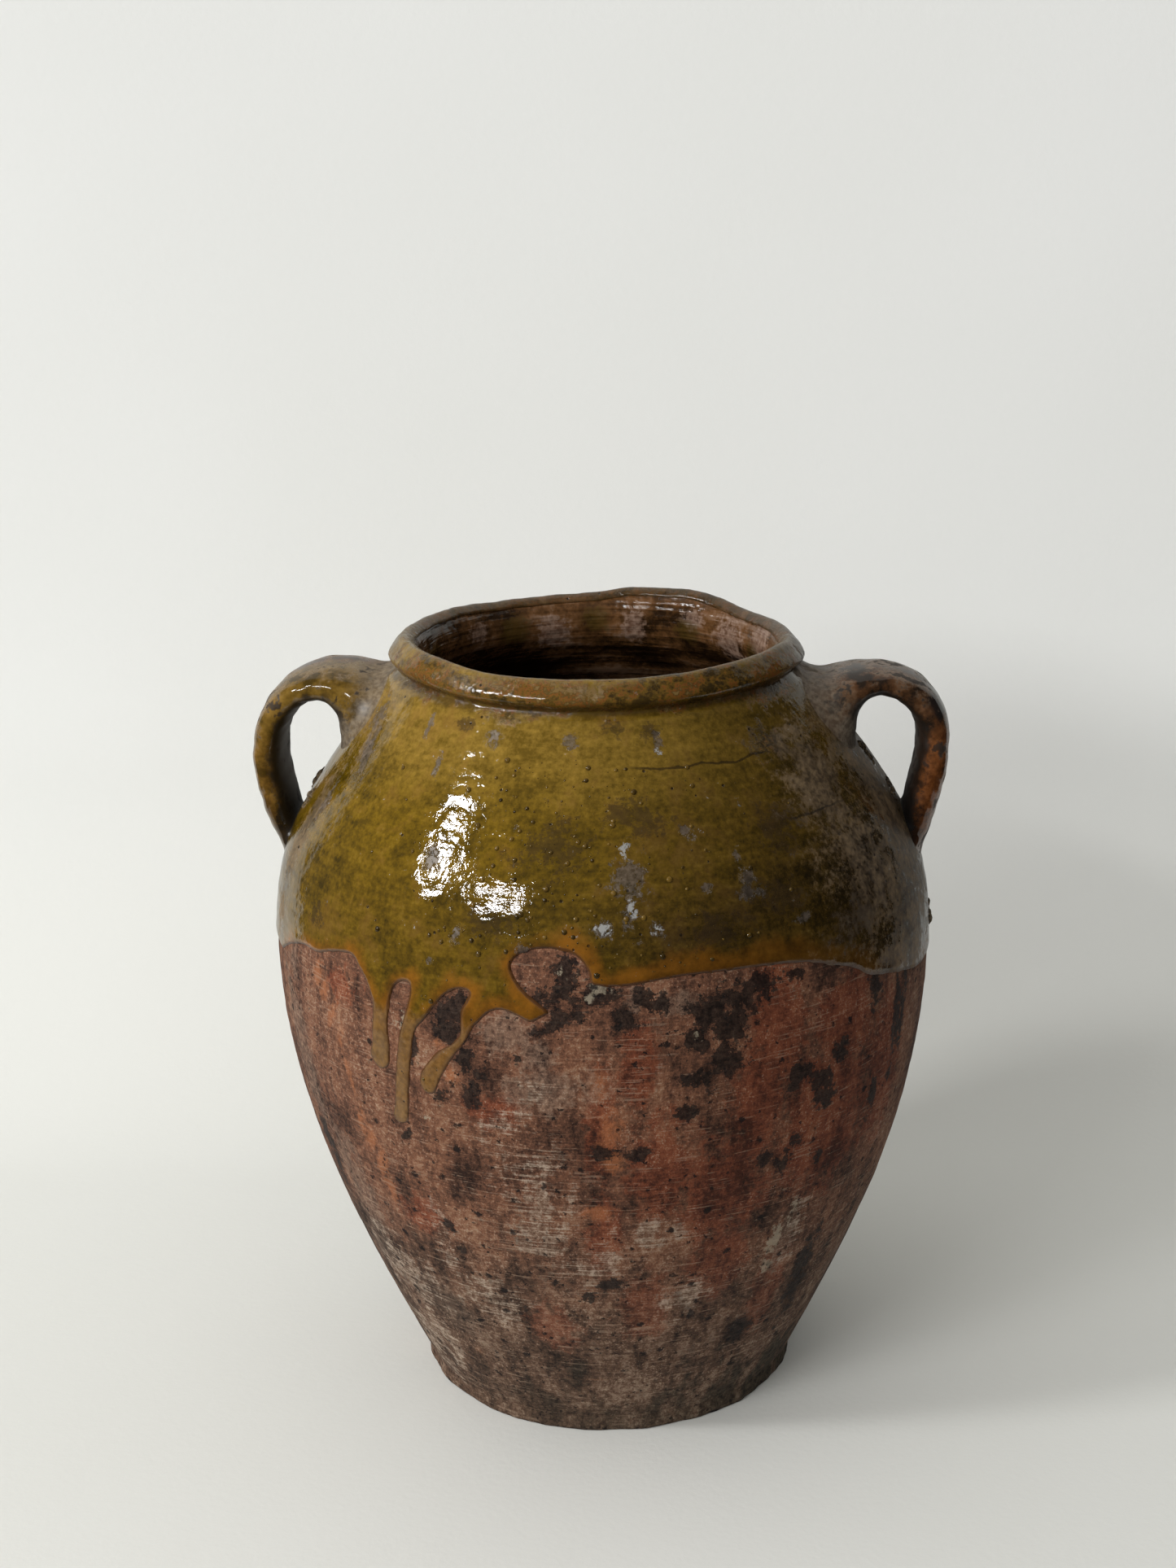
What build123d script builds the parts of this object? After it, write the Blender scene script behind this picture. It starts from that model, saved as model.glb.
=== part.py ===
# Two-handled earthenware olive jar, wheel-thrown, with a glaze over its upper half and inside.
# The vessel stands on its foot, +Z up, with the origin at the centre of its resting face.
# The two strap handles lie along X. Sizes are in millimetres.
import os
from math import atan2, cos, degrees, radians, sin

from build123d import *

# Vessel wall, outside: the belly is its widest circle, and the other circles are shares of it
belly_radius = 134.4
foot_share = 0.590
heel_share = 0.662
flank_share = 0.847
brow_share = 0.949
shoulder_share = 0.833
neck_share = 0.591

# The rise from each of those circles to the next, starting at the foot's resting face
foot_height = 7.0
heel_rise = 21.0
flank_rise = 59.0
belly_rise = 105.0
brow_rise = 43.0
shoulder_rise = 27.0
collar_rise = 40.0
foot_edge = 1.5

# Neck and rolled lip, measured out from the neck's channel and up from the collar below it
collar_flare = 3.6
channel_rise = 4.3
roll_overhang = 3.4
roll_rise = 4.0
roll_height = 3.2
crest_inset = 2.2
crest_rise = 3.6
mouth_inset = 6.2
mouth_drop = 2.6

# What is stuck on the wall stands this far off it, the thickness of a film of slip
seat_gap = 0.06

# Inside: wall, floor and the round corner between them
wall_thickness = 8.0
floor_thickness = 10.0
cove_radius = 22.0
throat_drop = 18.0
# The wall's inner line is drawn down to this height over the floor, and a cove takes it on
wall_line_end = 33.0

# Strap handles, pulled by hand, so each has its own course. A station gives the strap's middle
# as a drop below the collar and a distance off the wall, then which way it runs there in
# degrees above level, and its width and thickness.
left_strap = (
    (21.0, -7.0, 35, 58.0, 42.0),
    (8.8, 7.5, 38, 50.0, 24.0),
    (3.8, 24.2, 5, 43.0, 14.2),
    (8.2, 34.3, -38, 38.0, 12.8),
    (18.5, 35.5, -66, 35.0, 12.0),
    (34.0, 28.2, -92, 35.0, 11.8),
    (52.0, 14.1, -99, 34.0, 11.8),
    (67.0, 2.2, -107, 31.0, 11.4),
    (82.0, -9.5, -114, 27.0, 9.0),
)
right_strap = (
    (21.0, -7.0, 35, 54.0, 42.0),
    (9.2, 8.6, 38, 44.0, 21.0),
    (3.4, 27.5, 0, 36.0, 10.8),
    (8.0, 37.0, -40, 33.0, 12.0),
    (18.0, 37.2, -68, 33.0, 13.0),
    (32.0, 28.7, -92, 33.0, 13.2),
    (50.0, 13.2, -101, 33.0, 13.5),
    (66.0, 1.2, -107, 30.0, 12.5),
    (82.0, -9.5, -114, 26.0, 9.0),
)

# The strap's section: its long sides stand this far from its middle, as shares of its
# thickness, so its outer side is crowned and its under side nearly flat
strap_crown = 0.30
strap_sole = 0.42

# Glaze outside: its thickness and its wavering lower edge. A place on the coat is given as
# seen from the front: across, as a share of the belly's radius, and up from the belly.
coat_thickness = 0.5
front_edge = (
    (-0.790, 21.0),
    (-0.662, 25.0),
    (-0.580, 15.0),
    (-0.491, 19.0),
    (-0.357, 7.0),
    (-0.201, 15.0),
    (-0.104, 11.0),
    (0.067, 25.0),
    (0.298, 28.0),
    (0.580, 27.0),
    (0.781, 13.0),
)
back_edge = ((-0.707, 17.0), (-0.372, 28.0), (0.0, 18.0), (0.335, 26.0), (0.729, 11.0))
edge_at_left = 7.0
edge_at_right = -2.0
bare_patch_width = 29.0
bare_patch_height = 19.0
bare_patch_place = (-0.054, 30.0)

# Glaze runs: the top, tip and width of each, from left to right. They are thicker than the
# coat, and each ends in a bulb.
run_thickness = 1.1
run_bulb = 1.15
runs = (
    ((-0.543, 20.0), (-0.545, -14.5), 7.2),
    ((-0.481, 20.0), (-0.488, -35.0), 5.6),
    ((-0.335, 11.0), (-0.409, -16.0), 7.5),
)

# Glaze inside
lining_thickness = 0.4

# How finely a line is followed when it is moved sideways, and how far a trimming outline
# runs past the vessel
side_samples = 8
skin_samples = 16
halvings = 30
trim_margin = 10.0

foot_radius = belly_radius * foot_share
neck_radius = belly_radius * neck_share
belly_height = foot_height + heel_rise + flank_rise + belly_rise
collar_height = belly_height + brow_rise + shoulder_rise + collar_rise
crest_height = collar_height + channel_rise + roll_rise + roll_height + crest_rise


def in_section(radius, height):
    """A point of the vessel's section, which lies in the XZ plane."""
    return Vector(radius, 0, height)


mouth = in_section(neck_radius - mouth_inset, crest_height - mouth_drop)


def wall_line():
    """The vessel's outside from the top of the foot to the collar under the neck."""
    rises = (
        (foot_radius, foot_height),
        (belly_radius * heel_share, heel_rise),
        (belly_radius * flank_share, flank_rise),
        (belly_radius, belly_rise),
        (belly_radius * brow_share, brow_rise),
        (belly_radius * shoulder_share, shoulder_rise),
        (neck_radius + collar_flare, collar_rise),
    )
    height = 0
    points = []
    for radius, rise in rises:
        height += rise
        points.append(in_section(radius, height))
    return Spline(*points)


def lip_line():
    """The neck's channel, the rolled lip and its crest, from the collar to the mouth."""
    channel_height = collar_height + channel_rise
    roll_bottom = channel_height + roll_rise
    return Spline(
        in_section(neck_radius + collar_flare, collar_height),
        in_section(neck_radius, channel_height),
        in_section(neck_radius + roll_overhang, roll_bottom),
        in_section(neck_radius + roll_overhang / 2, roll_bottom + roll_height),
        in_section(neck_radius - crest_inset, crest_height),
        mouth,
    )


def beside(line, distance, samples, first=0.0, last=1.0):
    """Points beside a line of the section, on its right as it climbs, a distance away."""
    points = []
    for step in range(samples + 1):
        at = first + (last - first) * step / samples
        along = line.tangent_at(at)
        points.append(line.position_at(at) + Vector(along.Z, 0, -along.X) * distance)
    return points


def share_at(line, height):
    """The share of a climbing line at which it reaches a height, found by halving."""
    low, high = 0.0, 1.0
    for _ in range(halvings):
        middle = (low + high) / 2
        if line.position_at(middle).Z < height:
            low = middle
        else:
            high = middle
    return low


def cavity_lines(inset):
    """The inside of the vessel from its mouth to its axis, moved in by the inset."""
    wall = wall_line()
    first = share_at(wall, collar_height - throat_drop)
    last = share_at(wall, floor_thickness + wall_line_end)
    side_points = beside(wall, -wall_thickness - inset, side_samples, first, last)
    throat = in_section(mouth.X - inset, (collar_height + mouth.Z) / 2)
    side = Spline(in_section(mouth.X - inset, mouth.Z), throat, *side_points)
    floor_height = floor_thickness + inset
    end, along = side.position_at(1), side.tangent_at(1)
    corner = end + along * ((floor_height - end.Z) / along.Z)
    return [side, Line(end, corner), Line(corner, in_section(0, floor_height))], corner


def turned(edges, corners=()):
    """A section's closed outline, with round corners of given radii, turned about the axis."""
    section = make_face(Wire(edges))
    for corner, radius in corners:
        section = fillet(section.vertices().sort_by_distance(corner)[0], radius)
    return revolve(section, Axis.Z)


def vessel():
    """The thrown pot: floor, wall, neck and lip in one piece of clay."""
    cavity, corner = cavity_lines(0)
    edges = [
        Line(in_section(0, 0), in_section(foot_radius, 0)),
        Line(in_section(foot_radius, 0), in_section(foot_radius, foot_height)),
        wall_line(),
        lip_line(),
        *cavity,
        Line(in_section(0, floor_thickness), in_section(0, 0)),
    ]
    return turned(edges, [(corner, cove_radius), (in_section(foot_radius, 0), foot_edge)])


def outside_lines(distance):
    """The vessel's outside from the foot to the mouth, moved out by a distance."""
    over_wall = Spline(*beside(wall_line(), distance, skin_samples))
    over_lip = Spline(*beside(lip_line(), distance, skin_samples))
    return [over_wall, Line(over_wall.position_at(1), over_lip.position_at(0)), over_lip]


def filled_vessel():
    """The vessel's outside as a solid, which trims whatever is stuck on the wall."""
    sides = outside_lines(seat_gap)
    start, end = sides[0].position_at(0), sides[-1].position_at(1)
    low, high = in_section(0, start.Z), in_section(0, end.Z)
    return turned([Line(low, start), *sides, Line(end, high), Line(high, low)])


def skin(thickness):
    """A coat of even thickness on the vessel's outside, from the foot to the mouth."""
    inner = outside_lines(seat_gap)
    outer = outside_lines(seat_gap + thickness)
    bottom = Line(inner[0].position_at(0), outer[0].position_at(0))
    top = Line(inner[-1].position_at(1), outer[-1].position_at(1))
    return turned([*inner, top, *outer, bottom])


def glaze_lining():
    """The glaze poured round the inside, from the mouth to the middle of the floor."""
    outer, outer_corner = cavity_lines(0)
    inner, inner_corner = cavity_lines(lining_thickness)
    edges = [
        *outer,
        Line(in_section(0, floor_thickness), in_section(0, floor_thickness + lining_thickness)),
        *inner,
        Line(inner[0].position_at(0), mouth),
    ]
    coves = [(outer_corner, cove_radius), (inner_corner, cove_radius - lining_thickness)]
    return turned(edges, coves)


def on_coat(across, rise):
    """A place on the coat as seen from the front, in millimetres from the axis and the foot."""
    return (belly_radius * across, belly_height + rise)


def run_outline(top, tip, width):
    """One run of glaze seen from the front: a tongue with a bulb at its lower end."""
    start, end = Vector(*on_coat(*top)), Vector(*on_coat(*tip))
    middle = (start + end) / 2
    lean = degrees(atan2(start.Y - end.Y, start.X - end.X))
    tongue = SlotCenterToCenter((start - end).length, width, rotation=lean)
    bulb = Circle(width / 2 * run_bulb)
    return Pos(middle.X, middle.Y) * tongue + Pos(end.X, end.Y) * bulb


def glazed_outline(edge):
    """The glazed part of one side of the jar, seen square on, above its wavering edge."""
    side = belly_radius + run_thickness
    beyond = side + trim_margin
    above = crest_height + trim_margin
    left = (-side, belly_height + edge_at_left)
    right = (side, belly_height + edge_at_right)
    low_edge = Spline(left, *[on_coat(*place) for place in edge], right)
    frame = Polyline(
        right,
        (beyond, belly_height + edge_at_right),
        (beyond, above),
        (-beyond, above),
        (-beyond, belly_height + edge_at_left),
        left,
    )
    return make_face(Wire([low_edge, *frame.edges()]))


def curtain(outline, direction):
    """An outline in the XZ plane carried from the axis towards the front (-1) or the back (1)."""
    upright = Plane(origin=(0, 0, 0), x_dir=(1, 0, 0), z_dir=(0, -1, 0))
    return extrude(upright * outline, amount=-direction * 2 * belly_radius)


def glaze_coat(straps):
    """The glaze over the lip, neck and shoulder, with its ragged edge, runs and bare patch."""
    tongues = Sketch() + [run_outline(*run) for run in runs]
    patch = Pos(*on_coat(*bare_patch_place)) * Ellipse(bare_patch_width / 2, bare_patch_height / 2)
    front = glazed_outline(front_edge) + tongues - patch
    thin = skin(coat_thickness)
    coat = (thin & curtain(front, -1)) + (thin & curtain(glazed_outline(back_edge), 1))
    thick = skin(run_thickness) & curtain(tongues, -1)
    return coat + thick - straps


def strap_section(plane, width, thickness):
    """The strap's section: crowned outside, nearly flat inside, with rounded edges."""
    crown, sole = strap_crown * thickness, -strap_sole * thickness
    flat = width / 2 - (crown - sole) / 2
    middle = (crown + sole) / 2
    outline = Wire(
        [
            ThreePointArc((-flat, crown), (0, thickness / 2), (flat, crown)),
            ThreePointArc((flat, crown), (width / 2, middle), (flat, sole)),
            ThreePointArc((flat, sole), (0, -thickness / 2), (-flat, sole)),
            ThreePointArc((-flat, sole), (-width / 2, middle), (-flat, crown)),
        ]
    )
    return plane * make_face(outline)


def strap(stations, swell):
    """A strap on the +X side before it is trimmed to the wall, thicker all round by a swell."""
    wall = wall_line()
    sections = []
    for drop, standoff, lean, width, thickness in stations:
        height = collar_height - drop
        wall_radius = wall.position_at(share_at(wall, height)).X
        place = in_section(wall_radius + standoff, height)
        along = (cos(radians(lean)), 0, sin(radians(lean)))
        plane = Plane(origin=place, x_dir=(0, 1, 0), z_dir=along)
        sections.append(strap_section(plane, width + 2 * swell, thickness + 2 * swell))
    return loft(sections)


def write(shape, node):
    export_step(shape, f"parts/{node}.step")


def to_left(shape):
    return mirror(shape, about=Plane.YZ)


os.makedirs("parts", exist_ok=True)

outside = filled_vessel()
right_clay = strap(right_strap, 0)
left_clay = to_left(strap(left_strap, 0))
right_glazed = strap(right_strap, coat_thickness)
left_glazed = to_left(strap(left_strap, coat_thickness))

write(vessel(), "jar_body")
write(left_clay - outside, "handle_left")
write(right_clay - outside, "handle_right")
write(left_glazed - outside - left_clay, "handle_glaze_left")
write(right_glazed - outside - right_clay, "handle_glaze_right")
write(glaze_coat(left_glazed + right_glazed), "glaze_coat")
write(glaze_lining(), "glaze_lining")
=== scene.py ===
from math import cos, pi, radians, sin

import bpy
import numpy as np
from mathutils import Matrix, Vector


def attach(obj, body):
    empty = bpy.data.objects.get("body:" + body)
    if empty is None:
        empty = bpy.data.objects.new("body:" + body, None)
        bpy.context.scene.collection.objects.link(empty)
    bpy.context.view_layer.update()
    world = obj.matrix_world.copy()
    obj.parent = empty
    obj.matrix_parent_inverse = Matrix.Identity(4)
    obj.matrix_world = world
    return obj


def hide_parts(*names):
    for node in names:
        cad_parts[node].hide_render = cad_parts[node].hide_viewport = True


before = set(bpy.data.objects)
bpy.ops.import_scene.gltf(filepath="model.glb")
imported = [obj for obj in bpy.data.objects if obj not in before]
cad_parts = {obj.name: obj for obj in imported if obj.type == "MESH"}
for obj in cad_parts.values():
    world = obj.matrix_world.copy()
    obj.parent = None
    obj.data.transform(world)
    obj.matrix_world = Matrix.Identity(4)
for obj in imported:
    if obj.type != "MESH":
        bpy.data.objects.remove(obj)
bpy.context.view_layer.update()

# The camera stands 0.2 metres above the lip and looks down at the belly, turned five degrees
# off the jar's front and tilted by about one. It is set first, as every mark is judged from it.
camera_turn, camera_pitch, camera_roll = 5.0, 73.0975, -1.2279
camera_place = (-0.0047155, -0.910, 0.52971)
jar_turned = Matrix.Rotation(radians(camera_turn), 3, "Z")
camera = bpy.data.objects.new("camera", bpy.data.cameras.new("camera"))
camera.data.lens = 53.24
camera.data.sensor_width = 36.0
camera.location = jar_turned @ Vector(camera_place)
look_down = Matrix.Rotation(radians(camera_pitch), 3, "X")
tilt = Matrix.Rotation(radians(camera_roll), 3, "Z")
camera.rotation_euler = (jar_turned @ look_down @ tilt).to_euler()
bpy.context.scene.collection.objects.link(camera)
bpy.context.scene.camera = camera


# The thrown pot: floor, wall, channelled neck and rolled lip in one piece of red earthenware,
# turned on a wheel. The clay is bare below the glaze, weathered, sooted and bloomed white.
mm = 0.001
belly_radius = 134.4
collar_height = 302.0
wall_stations = (
    (79.3, 7), (89, 28), (113.8, 87), (134.4, 192), (127.5, 235), (112, 262), (83, 302),
)
lip_stations = (
    (83, 302), (79.4, 306.3), (82.8, 310.3), (81.1, 313.5), (77.2, 317.1), (73.2, 314.5),
)
wall_thickness = 8.0
floor_thickness = 10.0
cove_radius = 22.0
cove_lean = radians(66.1)  # of the inside wall where the cove begins
floor_corner = 72.4  # where floor and inside wall would meet without the cove
cove_top, throat_foot = 46.0, 284.0  # between these heights the inside follows the wall
throat = [(73.2, 314.5), (71.4, 310), (70.8, 305), (72.2, 299.5)]
foot_edge = [(78.9, 0.4), (79.3, 1.5), (79.3, 4)]
columns_round = 300


def line_through(points, step):
    """A smooth line through points, the first two columns being its place, in equal steps."""
    points = np.array(points, float)
    gaps = np.hypot(*np.diff(points[:, :2], axis=0).T)
    run = np.concatenate([[0], np.cumsum(gaps)])
    rows = np.eye(len(points))
    pull = np.zeros_like(points)
    for i in range(1, len(points) - 1):
        rows[i, i - 1:i + 2] = gaps[i - 1], 2 * (gaps[i - 1] + gaps[i]), gaps[i]
        rise_after = (points[i + 1] - points[i]) / gaps[i]
        pull[i] = 6 * (rise_after - (points[i] - points[i - 1]) / gaps[i - 1])
    bend = np.linalg.solve(rows, pull)
    at = np.linspace(0, run[-1], int(round(run[-1] / step)) + 1)
    i = np.clip(np.searchsorted(run, at, "right") - 1, 0, len(gaps) - 1)
    gap = gaps[i][:, None]
    a = (run[i + 1] - at)[:, None] / gap
    b = 1 - a
    curve = ((a**3 - a) * bend[i] + (b**3 - b) * bend[i + 1]) * gap**2 / 6
    return a * points[i] + b * points[i + 1] + curve


def outward(line):
    """The unit normals of a line of the section that climbs the outside."""
    along = np.gradient(line, axis=0)
    along /= np.hypot(*along.T)[:, None]
    return np.stack([along[:, 1], -along[:, 0]], 1)


wall_line = line_through(wall_stations, 2.2)
lip_line = line_through(lip_stations, 0.7)
inner_side = (wall_line - wall_thickness * outward(wall_line))[::-1]
inner_side = inner_side[(inner_side[:, 1] < throat_foot) & (inner_side[:, 1] > cove_top)]
inner_side = line_through(throat + [tuple(p) for p in inner_side[::6]], 3.0)
cove_centre = floor_corner - cove_radius / np.tan((pi - cove_lean) / 2)
cove_turns = np.linspace(cove_lean - pi / 2, -pi / 2, 9)
cove = [
    (cove_centre + cove_radius * cos(a), floor_thickness + cove_radius * (1 + sin(a)))
    for a in cove_turns
]
floor_line = [(r, floor_thickness) for r in (48, 36, 24, 12, 0)]
inside_line = np.array([*inner_side, *cove, *floor_line])
underside = [(r, 0) for r in (0, 15, 30, 45, 60, 72, 77.8)]
section = np.array([*underside, *foot_edge, *wall_line, *lip_line[1:], *inside_line[1:]])


noise_middle = 0.5


def give(socket, value):
    """Sets a node's socket, or links it to what works the value out."""
    if isinstance(value, Amount):
        socket.id_data.links.new(value.socket, socket)
    else:
        socket.default_value = value


class Amount:
    """A value that a node tree works out, so that sums of nodes read as sums."""

    def __init__(self, socket):
        self.socket = socket
        self.tree = socket.id_data

    def do(self, operation, *others):
        inputs = dict(enumerate((self, *others)))
        return node_in(self.tree, "ShaderNodeMath", inputs, operation=operation)

    def __add__(self, other):
        return self.do("ADD", other)

    def __sub__(self, other):
        return self.do("SUBTRACT", other)

    def __rsub__(self, other):
        return self.do("MULTIPLY_ADD", -1.0, other)

    def __mul__(self, other):
        return self.do("MULTIPLY", other)

    def __pow__(self, other):
        return self.do("POWER", other)

    def swing(self, size):
        """How far noise lies off its middle, to either side, times a size."""
        return (self - noise_middle) * size

    __radd__ = __add__
    __rmul__ = __mul__


def node_in(tree, kind, values, output=0, **settings):
    """A new node with its settings and inputs, given by number or name; its output's value."""
    node = tree.nodes.new(kind)
    for name, value in settings.items():
        setattr(node, name, value)
    for name, value in values.items():
        give(node.inputs[name], value)
    return Amount(node.outputs[output])


def step_up(amount, low, high):
    """0 below low, 1 above high and a soft step between; the other way round if low is more."""
    inputs = {"Value": amount, "From Min": low, "From Max": high}
    return node_in(amount.tree, "ShaderNodeMapRange", inputs, interpolation_type="SMOOTHSTEP")


def noise(place, scale, detail=3.0, roughness=0.55):
    """Smooth random unevenness from 0 to 1; its grain is about one over scale, in metres."""
    inputs = {"Vector": place, "Scale": scale, "Detail": detail, "Roughness": roughness}
    return node_in(place.tree, "ShaderNodeTexNoise", inputs)


def vector(operation, tree, *values):
    output = "Value" if operation == "DOT_PRODUCT" else "Vector"
    inputs = dict(enumerate(values))
    return node_in(tree, "ShaderNodeVectorMath", inputs, output, operation=operation)


def parts_of(place):
    """The x, y and z of a place, each as an amount."""
    x = node_in(place.tree, "ShaderNodeSeparateXYZ", {0: place})
    return [Amount(socket) for socket in x.socket.node.outputs]


def joined(tree, x, y, z):
    return node_in(tree, "ShaderNodeCombineXYZ", {0: x, 1: y, 2: z})


def shape_tree(name, sizes):
    """An empty geometry tree that takes a shape, named sizes and a finish."""
    tree = bpy.data.node_groups.new(name, "GeometryNodeTree")
    tree.interface.new_socket("Shape", in_out="INPUT", socket_type="NodeSocketGeometry")
    for size in sizes:
        kind = "NodeSocketInt" if size in ("Rows", "Columns") else "NodeSocketFloat"
        tree.interface.new_socket(size, in_out="INPUT", socket_type=kind)
    tree.interface.new_socket("Finish", in_out="INPUT", socket_type="NodeSocketMaterial")
    tree.interface.new_socket("Shape", in_out="OUTPUT", socket_type="NodeSocketGeometry")
    given = tree.nodes.new("NodeGroupInput")
    return tree, {socket.name: Amount(socket) for socket in given.outputs if socket.name}


def end_tree(tree, shape, finish):
    """The end of every geometry tree: real geometry, shaded smooth, with its finish."""
    shape = node_in(tree, "GeometryNodeSetShadeSmooth", {0: shape})
    shape = node_in(tree, "GeometryNodeRealizeInstances", {0: shape})
    shape = node_in(tree, "GeometryNodeSetMaterial", {"Geometry": shape, "Material": finish})
    give(tree.nodes.new("NodeGroupOutput").inputs[0], shape)


def passed_through(piece, tree, values):
    """Runs a piece through a geometry tree and keeps the result as its plain mesh."""
    modifier = piece.modifiers.new(tree.name, "NODES")
    modifier.node_group = tree
    for item in tree.interface.items_tree:
        if item.in_out == "INPUT" and item.name in values:
            modifier[item.identifier] = values[item.name]
    seen = piece.evaluated_get(bpy.context.evaluated_depsgraph_get())
    made = bpy.data.meshes.new_from_object(seen)
    piece.modifiers.remove(modifier)
    rough = piece.data
    piece.data = made
    made.name = piece.name
    bpy.data.meshes.remove(rough)
    return piece


def new_piece(name, places, faces=(), edges=()):
    """A new object with a mesh, its places given in millimetres."""
    mesh = bpy.data.meshes.new(name)
    mesh.from_pydata((np.array(places, float) * mm).tolist(), edges, faces)
    piece = bpy.data.objects.new(name, mesh)
    bpy.context.scene.collection.objects.link(piece)
    return piece


# The wheel turns a section into a pot.
wheel, given = shape_tree("wheel", ("Rows", "Columns"))
grid = node_in(
    wheel, "GeometryNodeMeshGrid",
    {"Size X": 1.0, "Size Y": 1.0, "Vertices X": given["Rows"], "Vertices Y": given["Columns"]},
)
number = Amount(wheel.nodes.new("GeometryNodeInputIndex").outputs[0])
columns = given["Columns"] + 0.0
row = (number + 0.5).do("DIVIDE", columns).do("FLOOR")
column = number - row * columns
angle = column.do("DIVIDE", columns - 1.0) * (2 * pi)
here = Amount(wheel.nodes.new("GeometryNodeInputPosition").outputs[0])
sampled = node_in(
    wheel, "GeometryNodeSampleIndex",
    {"Geometry": given["Shape"], "Value": here, "Index": row}, data_type="FLOAT_VECTOR",
)
radius, _, height = parts_of(sampled)
turned = joined(wheel, radius * angle.do("COSINE"), radius * angle.do("SINE"), height)
pot = node_in(wheel, "GeometryNodeSetPosition", {"Geometry": grid, "Position": turned})
pot = node_in(wheel, "GeometryNodeMergeByDistance", {"Geometry": pot, "Distance": 2e-5})
end_tree(wheel, pot, given["Finish"])

# The potter's hand leaves every piece a little uneven in the same way: the lip warped when the
# pot was lifted wet, the wall is out of round and ringed by the fingers, and the foot is
# pressed. A warp gives its place in degrees round, how far it reaches, and its height.
lip_warps = ((156, 28, 1.5), (-154, 32, -1.5), (112, 42, -3.0), (-62, 34, 1.5), (0, 50, -0.9))
hand, given = shape_tree("hand", ("Lip warp", "Out of round", "Rings", "Nicks", "Pressed foot"))
here = Amount(hand.nodes.new("GeometryNodeInputPosition").outputs[0])
x, y, z = parts_of(here)
level = vector("NORMALIZE", hand, joined(hand, x, y, 0.0))
warp = 0.0
for at, reach, height in lip_warps:
    facing = vector("DOT_PRODUCT", hand, level, (sin(radians(at)), -cos(radians(at)), 0))
    warp = step_up(facing, cos(radians(reach)), 1.0) * height + warp
lx, ly, _ = parts_of(level)
round_noise = noise(joined(hand, lx * 1.1, ly * 1.1, z * 3.0), 1.0, 1.0)
ring_noise = noise(joined(hand, lx * 0.5, ly * 0.5, z * 95.0), 1.0, 3.0, 0.6)
foot_noise = noise(joined(hand, lx * 5.0, ly * 5.0, z * 18.0), 1.0, 2.0)
nick_noise = noise(joined(hand, lx * 5.0, ly * 5.0, z * 70.0), 1.0, 4.0, 0.65)
nicked = nick_noise.swing(given["Nicks"]) * step_up(z, 0.298, 0.308)
lift = given["Lip warp"] * warp * step_up(z, 0.285, 0.317) + nicked
sway = round_noise.swing(given["Out of round"]) * step_up(z, 0.0, 0.06)
rings = ring_noise.swing(given["Rings"]) * step_up(z, 0.004, 0.03)
pressed = given["Pressed foot"] * (foot_noise - 0.62) * step_up(z, 0.014, 0.003)
outwards = vector("SCALE", hand, level)
give(outwards.socket.node.inputs["Scale"], sway + rings + pressed + nicked)
moved = vector("ADD", hand, outwards, joined(hand, 0.0, 0.0, lift))
shape = node_in(hand, "GeometryNodeSetPosition", {"Geometry": given["Shape"], "Offset": moved})
end_tree(hand, shape, given["Finish"])
hand_of_potter = {
    "Lip warp": mm, "Out of round": 0.0036, "Rings": 0.0009, "Nicks": 0.0014,
    "Pressed foot": 0.0036,
}


def colour(red, green, blue):
    """A shader colour from one given as it is seen, 0 to 255."""
    seen = np.array([red, green, blue]) / 255
    linear = np.where(seen > 0.04045, ((seen + 0.055) / 1.055) ** 2.4, seen / 12.92)
    return (*[float(v) for v in linear], 1.0)


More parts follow.
